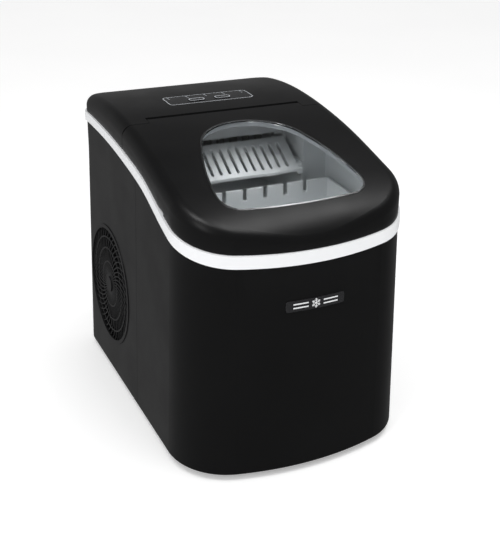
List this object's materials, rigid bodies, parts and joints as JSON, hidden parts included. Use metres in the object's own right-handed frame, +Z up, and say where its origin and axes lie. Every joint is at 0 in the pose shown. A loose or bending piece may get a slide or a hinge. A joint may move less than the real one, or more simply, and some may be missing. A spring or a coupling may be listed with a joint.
{
  "type": "countertop ice maker",
  "caption": "Black countertop ice maker with bowed front, white S-curve band, hinged lid with arched window, side fan grille and top control panel.",
  "frame": {"origin": "centre of the footprint on the standing surface, under the feet", "axes": "+Z up, the bowed front and the lid's free edge face -Y, +X is to the right seen from the front"},
  "size_m": [0.251, 0.366, 0.3186],
  "materials": {
    "black_casing": "satin",
    "black_parts": "matte",
    "white_band": "satin",
    "panel_film": "satin",
    "light_pipe": "gloss",
    "circuit_board": "satin",
    "steel_screw": "brushed",
    "clear_window": "gloss",
    "silver_bezel": "bright",
    "liner_grey": "satin",
    "white_plastic": "satin",
    "foam": "matte",
    "rubber": "matte",
    "nickel": "bright",
    "motor_steel": "brushed",
    "compressor_black": "satin",
    "copper": "satin",
    "aluminium_fin": "satin",
    "transformer_core": "satin"
  },
  "bodies": {
    "cabinet": {"front_housing": "black_casing", "rear_housing": "black_casing", "base_pan": "black_casing", "feet": "rubber", "trim_ring": "white_band", "top_deck": "black_casing", "control_panel": "panel_film", "indicator_lights": "light_pipe", "control_board": "circuit_board", "board_screws": "steel_screw", "hinge_pins": "steel_screw", "front_badge": "silver_bezel", "inner_tank": "white_plastic", "tank_insulation": "foam", "drain_spout": "white_plastic", "drain_seal": "rubber", "drain_hose": "rubber", "mechanism_frame": "white_plastic", "evaporator": "nickel", "evaporator_cover": "white_plastic", "tray_motor": "motor_steel", "motor_bracket": "motor_steel", "water_nozzle": "white_plastic", "water_pump": "black_parts", "pump_bracket": "motor_steel", "inlet_hose": "rubber", "outlet_hose": "rubber", "compressor": "compressor_black", "compressor_mounts": "rubber", "compressor_bolts": "steel_screw", "terminal_cover": "black_parts", "condenser_coil": "copper", "condenser_fins": "aluminium_fin", "filter_drier": "copper", "capillary_tube": "copper", "discharge_line": "copper", "suction_line": "copper", "hot_gas_valve": "motor_steel", "fan_shroud": "black_parts", "fan_bracket": "black_parts", "fan_motor": "motor_steel", "exhaust_grille": "black_parts", "electrical_box": "white_plastic", "main_board": "circuit_board", "transformer": "transformer_core", "cord_gland": "black_parts"},
    "lid": {"lid_shell": "black_casing", "lid_window": "clear_window", "window_bezel": "silver_bezel", "lid_liner": "liner_grey"},
    "ice_basket": {"ice_basket": "white_plastic"},
    "water_tray": {"water_tray": "white_plastic", "tray_coupling": "white_plastic"},
    "ice_shovel": {"ice_shovel": "white_plastic"},
    "fan": {"fan_blade": "black_parts"},
    "pump_impeller": {"pump_impeller": "white_plastic"},
    "power_button": {"power_button": "panel_film"},
    "select_button": {"select_button": "panel_film"},
    "drain_cap": {"drain_cap": "rubber"}
  },
  "joints": [
    {"name": "lid_hinge", "type": "hinge", "parent": "cabinet", "child": "lid", "pos_m": [0, 0.032, 0.3082], "axis": [-1, 0, 0], "range_deg": [0, 80]},
    {"name": "basket_lift", "type": "slide", "parent": "cabinet", "child": "ice_basket", "axis": [0, 0, 1], "range_m": [0, 0.008]},
    {"name": "tray_tilt", "type": "hinge", "parent": "cabinet", "child": "water_tray", "pos_m": [0, 0.066, 0.28], "axis": [1, 0, 0], "range_deg": [0, 75]},
    {"name": "shovel_slide", "type": "slide", "parent": "cabinet", "child": "ice_shovel", "axis": [0, 1, 0], "range_m": [0, 0.0221]},
    {"name": "fan_spin", "type": "hinge", "parent": "cabinet", "child": "fan", "pos_m": [-0.09, 0.082, 0.111], "axis": [1, 0, 0], "continuous": true},
    {"name": "pump_spin", "type": "hinge", "parent": "cabinet", "child": "pump_impeller", "pos_m": [0.05, 0.044, 0.035], "axis": [0, 0, 1], "continuous": true},
    {"name": "power_press", "type": "slide", "parent": "cabinet", "child": "power_button", "axis": [0, 0, -1], "range_m": [0, 0.0012], "stiffness_N_per_m": 300},
    {"name": "select_press", "type": "slide", "parent": "cabinet", "child": "select_button", "axis": [0, 0, -1], "range_m": [0, 0.0012], "stiffness_N_per_m": 300},
    {"name": "drain_cap_pull", "type": "slide", "parent": "cabinet", "child": "drain_cap", "axis": [0, 1, 0], "range_m": [0, 0.014]}
  ],
  "couplings": [
    {"joint": "shovel_slide", "follows": "tray_tilt", "m_per_rad": 0.016807}
  ]
}
